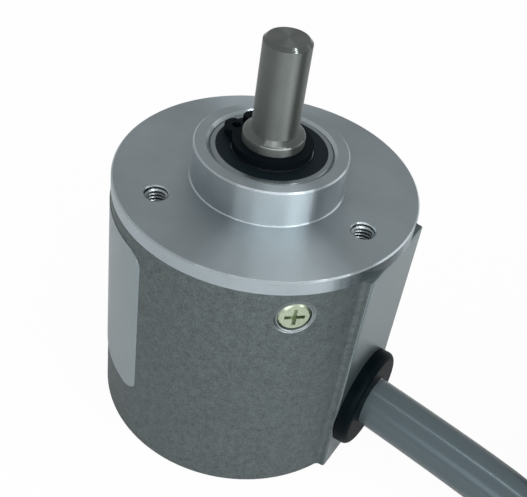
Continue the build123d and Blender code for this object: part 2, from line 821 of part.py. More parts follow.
def end_sleeve():
    """Shrunk sleeve over the end of the jacket."""
    inner_r = cable_r + fit_gap
    sleeve = extrude(Circle(inner_r + sleeve_wall) - Circle(inner_r), sleeve_length)
    return on_coil(tail_length - sleeve_length, tail_height) * sleeve


def lead_paths():
    """Routes of the bare end's leads, which fan out and sink to the coil."""
    paths = []
    for i in range(wire_count):
        place = i - (wire_count - 1) / 2
        side = place * (wire_d + slide_gap)
        lift = tail_height + wire_rows[i % 2]
        rest = wire_d / 2
        near, far = (spread * side for spread in lead_spread)
        paths.append(FilletPolyline(
            (side, lift, 0),
            (side, lift, lead_straight),
            (near, rest, lead_landing),
            (far, rest, lead_length),
            radius=lead_bend))
    return paths


def lead_wires():
    """Insulated leads at the bare end."""
    leads = []
    for path in lead_paths():
        section = Plane(origin=path @ 0, z_dir=path % 0) * Circle(wire_d / 2)
        leads.append(on_coil(tail_length) * sweep(section, path))
    return leads


def lead_tips():
    """Tinned strands that stand out of the leads."""
    tips = []
    for path in lead_paths():
        tip = Plane(origin=path @ 1, z_dir=path % 1) * extrude(Circle(lead_tip_d / 2), lead_tip_length)
        tips.append(on_coil(tail_length) * tip)
    return tips


housing_pieces = {
    "front_flange": front_flange,
    "cover": cover,
    "cover_screws": cover_screws,
    "label": label,
    "wave_washer": wave_washer,
    "led_holder": led_holder,
    "led_emitter": led_emitter,
    "led_wires": led_wires,
    "photo_sensor": photo_sensor,
    "reticle": reticle,
    "circuit_board": circuit_board,
    "board_posts": board_posts,
    "board_screws": board_screws,
    "line_driver": line_driver,
    "signal_chip": signal_chip,
    "board_capacitors": board_capacitors,
    "wire_header": wire_header,
    "wire_plug": wire_plug,
    "inner_wires": inner_wires,
    "cable_gland": cable_gland,
    "cable_entry": cable_entry,
    "cable_clamp": cable_clamp,
    "cable": cable,
    "cable_coil": cable_coil,
    "cable_tail": cable_tail,
    "end_sleeve": end_sleeve,
    "lead_wires": lead_wires,
    "lead_tips": lead_tips,
}
shaft_pieces = {
    "shaft": shaft,
    "retaining_ring": retaining_ring,
    "bearing_spacer": bearing_spacer,
    "disc_hub": disc_hub,
    "hub_set_screws": hub_set_screws,
    "code_disc": code_disc,
    "disc_clamp": disc_clamp,
}
bearing_pieces = {
    "outer_ring": outer_ring,
    "inner_ring": inner_ring,
    "seals": seals,
    "balls": balls,
    "ball_cage": ball_cage,
}
bearing_places = {"front": front_bearing_bottom, "rear": rear_bearing_bottom}


def save(name, shape):
    """Write one node; several solids go in as one group."""
    if isinstance(shape, list):
        shape = Compound(children=[piece.solid() if not isinstance(piece, Solid) else piece for piece in shape])
    export_step(shape, "parts/" + name + ".step")


os.makedirs("parts", exist_ok=True)
for name, make in {**housing_pieces, **shaft_pieces}.items():
    save(name, make())
for side, bottom in bearing_places.items():
    for name, make in bearing_pieces.items():
        save(side + "_" + name, make(bottom))
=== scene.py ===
# %% [markdown]
# # A 40 mm shaft encoder, dressed for its picture
# The housing, shaft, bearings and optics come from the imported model, already in place and at
# their real size. This file gives them their finishes and adds what the model leaves out: the
# screw threads in the mounting holes and the turns of the cable. Lathe marks, pits from grit
# and the grain of rubber are made inside the materials.
#
# Everything is in metres. +Z runs along the shaft, and +X points out of the flat pad that the
# cable leaves through. A value written in millimetres is multiplied by MM.

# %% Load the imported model
import json
import math

import bmesh
import bpy
from mathutils import Matrix, Vector


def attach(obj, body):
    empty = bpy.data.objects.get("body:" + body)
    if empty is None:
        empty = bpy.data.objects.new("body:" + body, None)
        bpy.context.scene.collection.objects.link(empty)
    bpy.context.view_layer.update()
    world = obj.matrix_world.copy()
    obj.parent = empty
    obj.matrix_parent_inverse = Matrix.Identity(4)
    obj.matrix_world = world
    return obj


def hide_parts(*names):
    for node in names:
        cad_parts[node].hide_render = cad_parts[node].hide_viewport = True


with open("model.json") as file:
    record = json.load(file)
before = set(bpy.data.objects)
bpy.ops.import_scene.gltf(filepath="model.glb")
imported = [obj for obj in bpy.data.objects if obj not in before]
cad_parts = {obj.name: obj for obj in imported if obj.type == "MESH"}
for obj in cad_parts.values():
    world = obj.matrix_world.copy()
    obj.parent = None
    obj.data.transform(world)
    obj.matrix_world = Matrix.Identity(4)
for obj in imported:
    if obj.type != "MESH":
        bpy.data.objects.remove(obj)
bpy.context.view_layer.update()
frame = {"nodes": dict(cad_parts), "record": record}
nodes = frame["nodes"]
MM = 0.001

# %% [markdown]
# ## The camera
# The picture looks down on the encoder from the front, a little to the left of the cable. A
# camera can be aimed by hand until the outlines fit, but a small error in its height already
# changes how round the face and the boss look. So its place and its direction were worked out
# from those outlines, and are given as numbers. The focal length is kept in pixels, the unit
# that the outlines are measured in. The lens looks at the middle of the picture, so it needs
# no shift.

# %% Camera
CAMERA_PLACE = Vector((44.124, -84.767, 106.813)) * MM
LOOK_RIGHT = Vector((0.83377, 0.53857, 0.12150))
LOOK_DOWN = Vector((0.43067, -0.49673, -0.75351))
LOOK_AHEAD = LOOK_RIGHT.cross(LOOK_DOWN)
SENSOR_WIDTH = 36.0
FOCAL_PIXELS = 906.97
PICTURE_WIDTH = 527
NEAREST, FARTHEST = 1 * MM, 10.0

camera_data = bpy.data.cameras.new("camera")
camera_data.sensor_fit = "HORIZONTAL"
camera_data.sensor_width = SENSOR_WIDTH
camera_data.lens = SENSOR_WIDTH * FOCAL_PIXELS / PICTURE_WIDTH
camera_data.clip_start = NEAREST
camera_data.clip_end = FARTHEST
camera = bpy.data.objects.new("camera", camera_data)
bpy.context.scene.collection.objects.link(camera)
camera_axes = (LOOK_RIGHT.normalized(), -LOOK_DOWN.normalized(), -LOOK_AHEAD.normalized())
camera_turn = Matrix(camera_axes).transposed()
camera.matrix_world = Matrix.Translation(CAMERA_PLACE) @ camera_turn.to_4x4()
bpy.context.scene.camera = camera
print("lens:", round(camera_data.lens, 2), "mm, from", round(CAMERA_PLACE.length, 3), "m away")

# %% [markdown]
# ## Short words for node trees
# A material or a world is a tree of nodes, and building one takes many small steps. Two
# helpers keep them readable: one starts a material, the other does a sum with sockets or plain
# numbers. They are used in nearly every cell below.

# %% Node helpers
def new_material(name):
    """A new node material, its tree and its Principled shader."""
    material = bpy.data.materials.new(name)
    material.use_nodes = True
    tree = material.node_tree
    return material, tree, tree.nodes["Principled BSDF"]


def maths(tree, operation, first, second=None):
    """The result of a maths node, fed by sockets or plain numbers."""
    node = tree.nodes.new("ShaderNodeMath")
    node.operation = operation
    for index, value in enumerate((first, second)):
        if value is None:
            continue
        if isinstance(value, (int, float)):
            node.inputs[index].default_value = value
        else:
            tree.links.new(value, node.inputs[index])
    return node.outputs[0]


# %% [markdown]
# ## A white tent
# Small metal parts are photographed in a tent of white cloth, and bare metal shows that cloth
# in its reflections. The tent could be built as walls, but a world colour does the same and
# never stands in a lamp's way. A ray that the camera sends past the encoder meets full white.
# Every other ray meets a dimmer grey, since a world that is white for all of them would wash
# out the metal.

# %% World
TENT_SEEN = 1.0
TENT_LIGHT = 0.51


def light_the_world():
    """White for the rays that look at it, softer for the light that it gives."""
    world = bpy.data.worlds.new("tent")
    bpy.context.scene.world = world
    world.use_nodes = True
    tree = world.node_tree
    back = tree.nodes["Background"]
    ray = tree.nodes.new("ShaderNodeLightPath")
    seen = maths(tree, "MAXIMUM", ray.outputs["Is Camera Ray"], ray.outputs["Is Transmission Ray"])
    extra = maths(tree, "MULTIPLY", seen, TENT_SEEN - TENT_LIGHT)
    tree.links.new(maths(tree, "ADD", extra, TENT_LIGHT), back.inputs["Strength"])
    back.inputs["Color"].default_value = (1, 1, 1, 1)


light_the_world()
print("tent:", TENT_SEEN, "to the camera,", TENT_LIGHT, "to the encoder")

# %% [markdown]
# ## The floor
# The encoder stands on a white sheet that nearly vanishes in the picture. Plain white cloth
# under soft lamps comes out grey, and stronger lamps would burn out the metal. So the floor
# mixes in a white glow, almost full for rays from the camera and faint for reflections. The
# share that stays plain cloth keeps a soft shadow under the encoder and the cable.

# %% Floor
FLOOR_SIZE = 3.0
FLOOR_WHITE = 0.86
FLOOR_ROUGHNESS = 0.9
FLOOR_SHINE = 0.1
FLOOR_SEEN = 0.96
FLOOR_MIRRORED = 0.15


def floor_cloth():
    """White cloth that glows for the camera and, faintly, in reflections."""
    material, tree, shader = new_material("floor_white")
    shader.inputs["Base Color"].default_value = (FLOOR_WHITE, FLOOR_WHITE, FLOOR_WHITE, 1)
    shader.inputs["Roughness"].default_value = FLOOR_ROUGHNESS
    shader.inputs["Specular IOR Level"].default_value = FLOOR_SHINE
    glow = tree.nodes.new("ShaderNodeEmission")
    glow.inputs["Strength"].default_value = 1.0
    ray = tree.nodes.new("ShaderNodeLightPath")
    seen = maths(tree, "MULTIPLY", ray.outputs["Is Camera Ray"], FLOOR_SEEN)
    mirrored = maths(tree, "MULTIPLY", ray.outputs["Is Glossy Ray"], FLOOR_MIRRORED)
    mix = tree.nodes.new("ShaderNodeMixShader")
    tree.links.new(maths(tree, "ADD", seen, mirrored), mix.inputs[0])
    tree.links.new(shader.outputs[0], mix.inputs[1])
    tree.links.new(glow.outputs[0], mix.inputs[2])
    tree.links.new(mix.outputs[0], tree.nodes["Material Output"].inputs[0])
    return material


half = FLOOR_SIZE / 2
floor_corners = [(-half, -half, 0), (half, -half, 0), (half, half, 0), (-half, half, 0)]
floor_mesh = bpy.data.meshes.new("floor")
floor_mesh.from_pydata(floor_corners, [], [(0, 1, 2, 3)])
floor_mesh.materials.append(floor_cloth())
floor = bpy.data.objects.new("floor", floor_mesh)
bpy.context.scene.collection.objects.link(floor)
print("floor:", FLOOR_SIZE, "m square")

# %% [markdown]
# ## Four soft boxes
# A turned wall shows a lamp as an upright band. The band on the pilot boss covers about 40
# degrees of the wall, and a round wall mirrors twice the angle that it turns through, so the
# lamps have to span more than 80 degrees of the front. One huge lamp would make the band even.
# Four soft boxes side by side can each have their own power, so the band is brightest right of
# its middle, as in the photo. They stand low, which lights the walls more than the flat face.

# %% Soft boxes
BOX_TARGET = (0, 0, 0.04)
BOX_DISTANCE = 0.54
BOX_TALL = 0.20
SOFT_BOXES = (
    # name, bearing in degrees, height, width, watts
    ("left_box", -88.5, 0.26, 0.24, 0.36),
    ("middle_box", -53.0, 0.26, 0.46, 1.40),
    ("right_box", -13.0, 0.20, 0.33, 1.35),
    ("far_box", 45.0, 0.20, 0.40, 0.16),
)


def soft_lamp(name, place, target, size, power):
    """A rectangular soft lamp at a place, turned to a target."""
    data = bpy.data.lights.new(name, "AREA")
    data.shape = "RECTANGLE"
    data.size, data.size_y = size
    data.energy = power
    lamp = bpy.data.objects.new(name, data)
    bpy.context.scene.collection.objects.link(lamp)
    lamp.location = place
    lamp.rotation_euler = (Vector(target) - Vector(place)).to_track_quat("-Z", "Y").to_euler()


for name, bearing, height, width, power in SOFT_BOXES:
    turn = math.radians(bearing)
    place = (BOX_DISTANCE * math.cos(turn), BOX_DISTANCE * math.sin(turn), height)
    soft_lamp(name, place, BOX_TARGET, (width, BOX_TALL), power)
    print(name, "at", bearing, "degrees:", power, "W")

# %% [markdown]
# ## A strip overhead
# The cable carries a thin bright line along its top. A wide lamp would give a broad sheen, and
# a small one a single spot. Only a long narrow lamp above the cable, laid the same way, draws
# a line, so a strip hangs over it along X. It also puts the glints on the chamfer at the
# shaft's end and on the shoulder at its foot. A second, weaker strip carries it on behind the
# encoder, where the full power would be too much for the face.

# %% Strips
STRIP_ASIDE = -0.02
STRIP_HEIGHT = 0.66
STRIP_WIDTH = 0.020
STRIPS = (
    # name, its middle along X, length, watts
    ("strip", 0.28, 0.56, 0.95),
    ("strip_end", -0.07, 0.14, 0.10),
)

for name, middle, length, power in STRIPS:
    place = (middle, STRIP_ASIDE, STRIP_HEIGHT)
    soft_lamp(name, place, (middle, 0.0, 0.0), (length, STRIP_WIDTH), power)
    print(name, "from x =", round(middle - length / 2, 2), "to", round(middle + length / 2, 2), "m")

# %% [markdown]
# ## Where a point lies
# Every finish is a material made from nodes, with no picture in it. Lathe marks are circles
# about the shaft, so the finishes ask where a point lies: its distance from the shaft axis,
# its height and its angle round the axis. Unwrapping each piece would give such marks too, but
# object coordinates need no unwrapping, keep their size in metres and turn with the shaft.

# %% Coordinates
def object_point(tree):
    """The point being shaded, in metres in the model's own frame."""
    return tree.nodes.new("ShaderNodeTexCoord").outputs["Object"]


def split_up(tree, vector):
    """The X, Y and Z of a vector."""
    split = tree.nodes.new("ShaderNodeSeparateXYZ")
    tree.links.new(vector, split.inputs[0])
    return split.outputs[0], split.outputs[1], split.outputs[2]


def long_side(tree, across, up):
    """The long side of a right triangle, from its two short ones."""
    squares = maths(tree, "ADD", maths(tree, "MULTIPLY", across, across),
                    maths(tree, "MULTIPLY", up, up))
    return maths(tree, "SQRT", squares)


def axis_distance(tree, point):
    """Distance of a point from the shaft axis, and its height."""
    x, y, z = split_up(tree, point)
    return long_side(tree, x, y), z


def turn_about_axis(tree, point):
    """Angle of a point round the shaft axis, in radians."""
    x, y, _ = split_up(tree, point)
    return maths(tree, "ARCTAN2", y, x)


# %% [markdown]
# ## Grain, tones and ridges
# No real surface has one even tone. Noise gives a value from 0 to 1 that wanders from place to
# place. A ramp turns it into colours, a scaling turns it into a roughness, and a bump tilts
# the light as if it were a height. The bump adds no faces, which is right for marks of a few
# thousandths of a millimetre. A blend lays one tone over another wherever a mask is 1.

# %% Grain, ramp, bump and blend
def grain(tree, point, size, detail=4.0, roughness=0.6):
    """Cloudy noise whose blotches are about this many metres across."""
    noise = tree.nodes.new("ShaderNodeTexNoise")
    noise.inputs["Scale"].default_value = 1.0 / size
    noise.inputs["Detail"].default_value = detail
    noise.inputs["Roughness"].default_value = roughness
    tree.links.new(point, noise.inputs["Vector"])
    return noise.outputs["Fac"]


def ramp(tree, value, stops, blending="LINEAR"):
    """A colour for a value, from (place, colour) pairs."""
    node = tree.nodes.new("ShaderNodeValToRGB")
    node.color_ramp.interpolation = blending
    elements = node.color_ramp.elements
    while len(elements) < len(stops):
        elements.new(0.5)
    for element, (place, colour) in zip(elements, stops):
        element.position = place
        element.color = (*colour, 1)
    tree.links.new(value, node.inputs[0])
    return node.outputs["Color"]


def scaled(tree, value, low, high):
    """Map 0..1 to low..high."""
    return maths(tree, "ADD", maths(tree, "MULTIPLY", value, high - low), low)


def bump(tree, shader, height, depth, strength=1.0):
    """Feed a height into the shader's normal; depth is in metres."""
    node = tree.nodes.new("ShaderNodeBump")
    node.inputs["Strength"].default_value = strength
    node.inputs["Distance"].default_value = depth
    tree.links.new(height, node.inputs["Height"])
    tree.links.new(node.outputs[0], shader.inputs["Normal"])
    return node


def blend(tree, share, first, second):
    """Mix two colours, each a socket or three numbers."""
    node = tree.nodes.new("ShaderNodeMix")
    node.data_type = "RGBA"
    tree.links.new(share, node.inputs[0])
    for index, colour in ((6, first), (7, second)):
        if isinstance(colour, tuple):
            node.inputs[index].default_value = (*colour, 1)
        else:
            tree.links.new(colour, node.inputs[index])
    return node.outputs[2]


# %% [markdown]
# ## What a lathe does to a highlight
# The cutting tool leaves fine circles. They blur a reflection across the circles and keep it
# sharp along them. On the boss that gives the upright band, and on the flat face the rays
# that run out from the middle. Real grooves that fine would need millions of faces. The
# shader's anisotropy does the same, with a tangent that runs round the axis. By itself it
# stretches a highlight along the tangent, so it is turned by a quarter.

# %% Highlight across the marks
ACROSS_THE_MARKS = 0.25
RAY_TURN = 0.035        # width of a ray, in radians
RAY_DEPTH = 0.14        # how much rougher or smoother a ray is


def stretch_highlight(tree, shader, stretch):
    """Blur reflections across the lathe marks and keep them sharp along them."""
    shader.inputs["Anisotropic"].default_value = stretch
    shader.inputs["Anisotropic Rotation"].default_value = ACROSS_THE_MARKS
    tangent = tree.nodes.new("ShaderNodeTangent")
    tangent.direction_type = "RADIAL"
    tangent.axis = "Z"
    tree.links.new(tangent.outputs[0], shader.inputs["Tangent"])


def along_line(tree, value):
    """A texture point that changes with this value alone."""
    combine = tree.nodes.new("ShaderNodeCombineXYZ")
    tree.links.new(value, combine.inputs[0])
    return combine.outputs[0]


def lathe_rings(tree, radius, height, ridge):
    """Fine marks: circles on a flat face, and circles one above another on a round wall."""
    return grain(tree, along_line(tree, maths(tree, "ADD", radius, height)), ridge, 3.0)


def face_rays(tree, point):
    """How rough each narrow sector of a turned face is, as a factor round 1."""
    rays = grain(tree, along_line(tree, turn_about_axis(tree, point)), RAY_TURN, 2.0)
    return scaled(tree, rays, 1 - RAY_DEPTH, 1 + RAY_DEPTH)


# %% [markdown]
# ## Edges and corners
# Chamfers are cut last and are smooth enough to glint. On the front their tone is also lifted
# to a brighter one, a painted highlight on top of the glint that the lamps give. They
# are part of the model, so the material only has to know them, which it does by the way they
# lean: a face that leans at 45 degrees is a chamfer. The inside corner at the foot of the boss
# has the small round of the tool's tip, and catches a thin line of light. A real fillet there
# would be a sliver of faces, so a bump bends the light over a quarter of a millimetre instead.

# %% Chamfers and the foot of the boss
EDGE_POLISH = 0.35
# painted highlight: the brighter tone that the chamfers of the front take
PAINTED_CHAMFER_GLINT = (0.53, 0.60, 0.64)
CORNER_WIDTH = 0.25 * MM


def corner_normal(tree, radius, foot):
    """The normal, with a small round in the inside corner at this radius if there is one."""
    if foot is None:
        return tree.nodes.new("ShaderNodeNewGeometry").outputs["Normal"]
    into = maths(tree, "SUBTRACT", foot + CORNER_WIDTH, radius)
    rise = tree.nodes.new("ShaderNodeClamp")
    tree.links.new(maths(tree, "DIVIDE", into, CORNER_WIDTH), rise.inputs[0])
    node = tree.nodes.new("ShaderNodeBump")
    node.inputs["Distance"].default_value = CORNER_WIDTH
    tree.links.new(rise.outputs[0], node.inputs["Height"])
    return node.outputs[0]


def lean(tree, normal):
    """How level a surface lies, and a value that is 1 where it leans at 45 degrees."""
    _, _, up = split_up(tree, normal)
    level = maths(tree, "MULTIPLY", up, up)
    rest = maths(tree, "SUBTRACT", 1.0, level)
    return level, maths(tree, "MULTIPLY", maths(tree, "MULTIPLY", level, rest), 4.0)


# %% [markdown]
# ## The tapped holes
# Little light gets into a hole 3 mm wide, so the shade in it is painted. The holes are
# part of the front, which is one piece with one finish, so a mask finds them by the distance
# to the nearest hole's axis. Inside it the metal is painted nearly black as shade. The
# countersunk mouths are rough, so the polish of the other chamfers stops short of them.

# %% Masks for the holes
HOLE_CIRCLE = 15.0
HOLE_ANGLES = (-5.0, 115.0, 235.0)
HOLE_REACH = 1.52 * MM
HOLE_MOUTH = 2.1 * MM
# painted shade inside the mounting holes
PAINTED_HOLE_SHADE = (0.05, 0.06, 0.065)


def hole_middle(angle):
    """Where the axis of a mounting hole meets the face, in millimetres."""
    turn = math.radians(angle)
    return HOLE_CIRCLE * math.cos(turn), HOLE_CIRCLE * math.sin(turn)


def hole_distance(tree, point):
    """Distance of a point to the axis of the nearest mounting hole."""
    x, y, _ = split_up(tree, point)
    nearest = None
    for angle in HOLE_ANGLES:
        middle_x, middle_y = hole_middle(angle)
        distance = long_side(tree, maths(tree, "SUBTRACT", x, middle_x * MM),
                             maths(tree, "SUBTRACT", y, middle_y * MM))
        nearest = distance if nearest is None else maths(tree, "MINIMUM", nearest, distance)
    return nearest


for angle in HOLE_ANGLES:
    print("hole at:", [round(value, 2) for value in hole_middle(angle)], "mm")

# %% [markdown]
# ## Turned metal
# The front, the shaft and the bearing rings all come from a lathe or a grinder, so one recipe
# serves them all. The marks set how rough the metal is from ring to ring and from ray to ray.
# Chamfers are smoother, flat faces a little smoother than walls, and the rim of the front had
# a finer cut than the rest.

# %% Turned metal
CLOUD_SIZE = 6 * MM
CLOUD_DARK, CLOUD_LIGHT = 0.94, 1.05
RING_SMOOTH, RING_ROUGH = 0.85, 1.15
FACE_CUT = 0.12         # how much smoother a flat face is
WALL_CUT = 0.62         # roughness left on a wall with a finer cut


def turned_tone(tree, point, colour):
    """The metal's colour with slow clouds in it."""
    dark = tuple(channel * CLOUD_DARK for channel in colour)
    light = tuple(channel * CLOUD_LIGHT for channel in colour)
    return ramp(tree, grain(tree, point, CLOUD_SIZE), ((0.3, dark), (0.7, light)))


def less(tree, mask, share):
    """A factor that is 1 away from a mask and smaller by this share on it."""
    return maths(tree, "SUBTRACT", 1.0, maths(tree, "MULTIPLY", mask, share))


def turned_metal(name, colour, roughness, ridge=0.12 * MM, depth=0.0020 * MM, stretch=0.7,
                 edge_polish=EDGE_POLISH, foot=None, outer=None, tapped=False):
    """Metal from a lathe. Only the front part has the last three: the radius of its inside
    corner, the radius beyond which it had a finer cut, and tapped holes."""
    material, tree, shader = new_material(name)
    point = object_point(tree)
    radius, height = axis_distance(tree, point)
    normal = corner_normal(tree, radius, foot)
    level, slope = lean(tree, normal)
    rings = lathe_rings(tree, radius, height, ridge)
    tone = turned_tone(tree, point, colour)
    if foot:
        # painted highlight on the chamfers of the front
        tone = blend(tree, slope, tone, PAINTED_CHAMFER_GLINT)
    if tapped:
        from_hole = hole_distance(tree, point)
        # painted shade: the metal inside the holes turns nearly black
        tone = blend(tree, maths(tree, "LESS_THAN", from_hole, HOLE_REACH), tone, PAINTED_HOLE_SHADE)
        slope = maths(tree, "MULTIPLY", slope, maths(tree, "GREATER_THAN", from_hole, HOLE_MOUTH))
    rough = scaled(tree, rings, roughness * RING_SMOOTH, roughness * RING_ROUGH)
    factors = [less(tree, slope, edge_polish), less(tree, level, FACE_CUT), face_rays(tree, point)]
    if outer:
        factors.append(less(tree, maths(tree, "GREATER_THAN", radius, outer), 1 - WALL_CUT))
    for factor in factors:
        rough = maths(tree, "MULTIPLY", rough, factor)
    shader.inputs["Metallic"].default_value = 1.0
    tree.links.new(tone, shader.inputs["Base Color"])
    tree.links.new(rough, shader.inputs["Roughness"])
    stretch_highlight(tree, shader, stretch)
    tree.links.new(normal, bump(tree, shader, rings, depth).inputs["Normal"])
    return material


# %% [markdown]
# ## The front, the shaft and the bearings
# The front is bright aluminium with a slight blue from the tent. The shaft is ground steel,
# darker and a little warm, with marks so fine that they hardly show. Its chamfer and shoulder
# are the smoothest edges of all. Colours here are linear, so they look darker as numbers than
# on the screen.

# %% Turned pieces
FINISHES = {
    "turned_aluminium": turned_metal(
        "turned_aluminium", (0.385, 0.445, 0.475), 0.40, stretch=1.0,
        foot=10.0 * MM, outer=19.8 * MM, tapped=True),
    "shaft_steel": turned_metal(
        "shaft_steel", (0.160, 0.177, 0.170), 0.40, ridge=0.08 * MM, depth=0.0008 * MM,
        stretch=0.9, edge_polish=0.60),
    "bearing_steel": turned_metal(
        "bearing_steel", (0.27, 0.31, 0.33), 0.32, ridge=0.10 * MM, depth=0.0004 * MM,
        stretch=0.6),
}
print("turned:", sorted(FINISHES))

# %% [markdown]
# ## Seats of the cover screws
# Each cover screw sits in a small bevel that is cut after blasting, so it is bright, and its
# lower edge catches the light. The bevel is half a millimetre wide. It could be cut into the
# cover's mesh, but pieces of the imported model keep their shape, so a bump draws it. The two
# screws stand opposite each other, and one mask, a cylinder through both, finds them both.

# %% Bevels at the screws
SCREW_ANGLE = -46.0
SCREW_HEIGHT = 32.4 * MM
SEAT_IN, SEAT_OUT = 2.2 * MM, 2.7 * MM
BEVEL_COLOUR = (0.26, 0.30, 0.31)
BEVEL_TOP = 0.98        # still on the bevel below this share of its rise


def seat_bevel(tree, x, y, z):
    """How far up the bevel round a cover screw a point lies: 0 at the head, 1 outside."""
    turn = math.radians(SCREW_ANGLE)
    aside = maths(tree, "ADD", maths(tree, "MULTIPLY", x, -math.sin(turn)),
                  maths(tree, "MULTIPLY", y, math.cos(turn)))
    above = maths(tree, "SUBTRACT", z, SCREW_HEIGHT)
    node = tree.nodes.new("ShaderNodeMapRange")
    node.interpolation_type = "SMOOTHSTEP"
    node.inputs["From Min"].default_value = SEAT_IN
    node.inputs["From Max"].default_value = SEAT_OUT
    tree.links.new(long_side(tree, aside, above), node.inputs["Value"])
    return node.outputs["Result"]


# %% [markdown]
# ## The milled pad
# The flat pad under the cable is milled after blasting, so it is smoother and lighter than the
# round wall. It mirrors the tent near its top and the shaded floor near its foot. The tent
# here is an even world colour and can't show that step by itself, so the tone fades with the
# height: a painted reflection near the top and painted shade towards the foot. The pad is the
# only part of the cover that reaches so far along X, and that is the mask.

# %% Pad
PAD_FACE = 19.6 * MM
# the pad's tone at its top, lighter with a painted reflection, and at its foot, darker with painted
# shade
PAD_COLOUR = (0.300, 0.368, 0.388)
PAD_SHADE = (0.150, 0.187, 0.196)
PAD_ROUGHNESS = 0.34
PAD_LOW, PAD_HIGH = 8 * MM, 34 * MM


def pad_tone(tree, height):
    """The pad's colour, with painted shade darker towards its foot."""
    rise = tree.nodes.new("ShaderNodeMapRange")
    rise.inputs["From Min"].default_value = PAD_LOW
    rise.inputs["From Max"].default_value = PAD_HIGH
    tree.links.new(height, rise.inputs["Value"])
    return blend(tree, rise.outputs["Result"], PAD_SHADE, PAD_COLOUR)


# %% [markdown]
# ## The blasted wall
# Grit leaves the cover dull and pitted. The pits are a fifth of a millimetre wide, with larger
# blotches under them where the blast was uneven. Displaced faces would be far too many, so one
# noise drives the tone, the roughness and the bump together. A pit then is dark, rough and
# deep in the same place, which is what makes it read as a pit.

# %% Blasted cover
PIT_DARK, PIT_LIGHT = (0.074, 0.090, 0.092), (0.160, 0.190, 0.193)
PIT_SIZE, BLOTCH_SIZE = 0.20 * MM, 1.0 * MM
PIT_SHARE, BLOTCH_SHARE = 0.72, 0.28
PIT_DEPTH = 0.04 * MM
BLASTED_ROUGHNESS = 0.60
BLASTED_METALLIC = 0.9


def blasted_cover():
    """Aluminium roughened by grit, apart from the milled pad and the bevels at the screws."""
    material, tree, shader = new_material("blasted_aluminium")
    point = object_point(tree)
    x, y, z = split_up(tree, point)
    pad = maths(tree, "GREATER_THAN", x, PAD_FACE)
    bevel = seat_bevel(tree, x, y, z)
    on_bevel = maths(tree, "LESS_THAN", bevel, BEVEL_TOP)
    fine = grain(tree, point, PIT_SIZE, 2.0, 0.7)
    coarse = grain(tree, point, BLOTCH_SIZE, 3.0)
    both = maths(tree, "ADD", maths(tree, "MULTIPLY", fine, PIT_SHARE),
                 maths(tree, "MULTIPLY", coarse, BLOTCH_SHARE))
    pits = ramp(tree, both, ((0.36, PIT_DARK), (0.64, PIT_LIGHT)))
    wall = blend(tree, on_bevel, pits, BEVEL_COLOUR)
    tree.links.new(blend(tree, pad, wall, pad_tone(tree, z)), shader.inputs["Base Color"])
    shader.inputs["Metallic"].default_value = BLASTED_METALLIC
    rough = scaled(tree, fine, BLASTED_ROUGHNESS * 0.8, BLASTED_ROUGHNESS * 1.2)
    smoother = maths(tree, "MULTIPLY", maths(tree, "MAXIMUM", pad, on_bevel),
                     PAD_ROUGHNESS - BLASTED_ROUGHNESS)
    tree.links.new(maths(tree, "ADD", rough, smoother), shader.inputs["Roughness"])
    seat = tree.nodes.new("ShaderNodeBump")
    seat.inputs["Distance"].default_value = SEAT_OUT - SEAT_IN
    tree.links.new(bevel, seat.inputs["Height"])
    pitted = maths(tree, "MULTIPLY", both, maths(tree, "SUBTRACT", 1.0, pad))
    tree.links.new(seat.outputs[0], bump(tree, shader, pitted, PIT_DEPTH, 0.8).inputs["Normal"])
    return material


FINISHES["blasted_aluminium"] = blasted_cover()
print("pits:", round(PIT_SIZE / MM, 2), "mm wide,", round(PIT_DEPTH / MM, 2), "mm deep")

# %% [markdown]
# ## A recipe for plain finishes
# Rubber, plastic and small metal pieces need no masks. They share one recipe: slow clouds and
# a fine grain in the tone, the same grain in the roughness, and a faint bump. Only the numbers
# tell rubber from brass. The shine of everything that isn't metal is tinted cool, because the
# light in the photo is, and dark rubber shows little else than that shine.

# %% Speckled finish
COOL_SHINE = (0.72, 0.95, 1.0, 1.0)
CLOUDS_PER_GRAIN = 12   # clouds are this many times as wide as the grain
GRAIN_STRENGTH = 0.6


def speckled(name, colour, roughness, metallic=0.0, grain_size=0.4 * MM, depth=0.004 * MM,
             contrast=0.12, gloss=0.5):
    """A finish with a fine grain and a slight change of tone."""
    material, tree, shader = new_material(name)
    point = object_point(tree)
    fine = grain(tree, point, grain_size, 3.0)
    clouds = grain(tree, point, grain_size * CLOUDS_PER_GRAIN, 2.0)
    mixed = maths(tree, "MULTIPLY", maths(tree, "ADD", fine, clouds), 0.5)
    dark = tuple(channel * (1 - contrast) for channel in colour)
    light = tuple(channel * (1 + contrast) for channel in colour)
    tone = ramp(tree, mixed, ((0.35, dark), (0.65, light)))
    tree.links.new(tone, shader.inputs["Base Color"])
    shader.inputs["Metallic"].default_value = metallic
    shader.inputs["Specular IOR Level"].default_value = gloss
    if metallic == 0.0:
        shader.inputs["Specular Tint"].default_value = COOL_SHINE
    rough = scaled(tree, fine, roughness * 0.85, roughness * 1.2)
    tree.links.new(rough, shader.inputs["Roughness"])
    bump(tree, shader, fine, depth, GRAIN_STRENGTH)
    return material


# %% [markdown]
# ## Small metal pieces
# The cover screws are zinc plated and passivated yellow, which shows as a pale straw tint. The
# others are out of sight inside: pressed cages, the wave washer and spacer, brass posts, cans
# of capacitors and tinned wire. The code disc is thin steel with a smooth, even face.

# %% Small metals
SMALL_METALS = {
    # slot: (colour, roughness)
    "yellow_zinc": ((0.47, 0.54, 0.41), 0.28),
    "spring_steel": ((0.45, 0.45, 0.45), 0.30),
    "cage_steel": ((0.50, 0.50, 0.50), 0.35),
    "brass_posts": ((0.62, 0.46, 0.18), 0.25),
    "capacitor_can": ((0.45, 0.45, 0.47), 0.25),
    "tinned_copper": ((0.62, 0.62, 0.60), 0.30),
}
for slot, (colour, roughness) in SMALL_METALS.items():
    FINISHES[slot] = speckled(slot, colour, roughness, metallic=1.0)
FINISHES["disc_steel"] = speckled(
    "disc_steel", (0.55, 0.55, 0.53), 0.22, metallic=1.0,
    grain_size=0.8 * MM, depth=0.0005 * MM, contrast=0.05)
print("small metals:", len(SMALL_METALS) + 1)

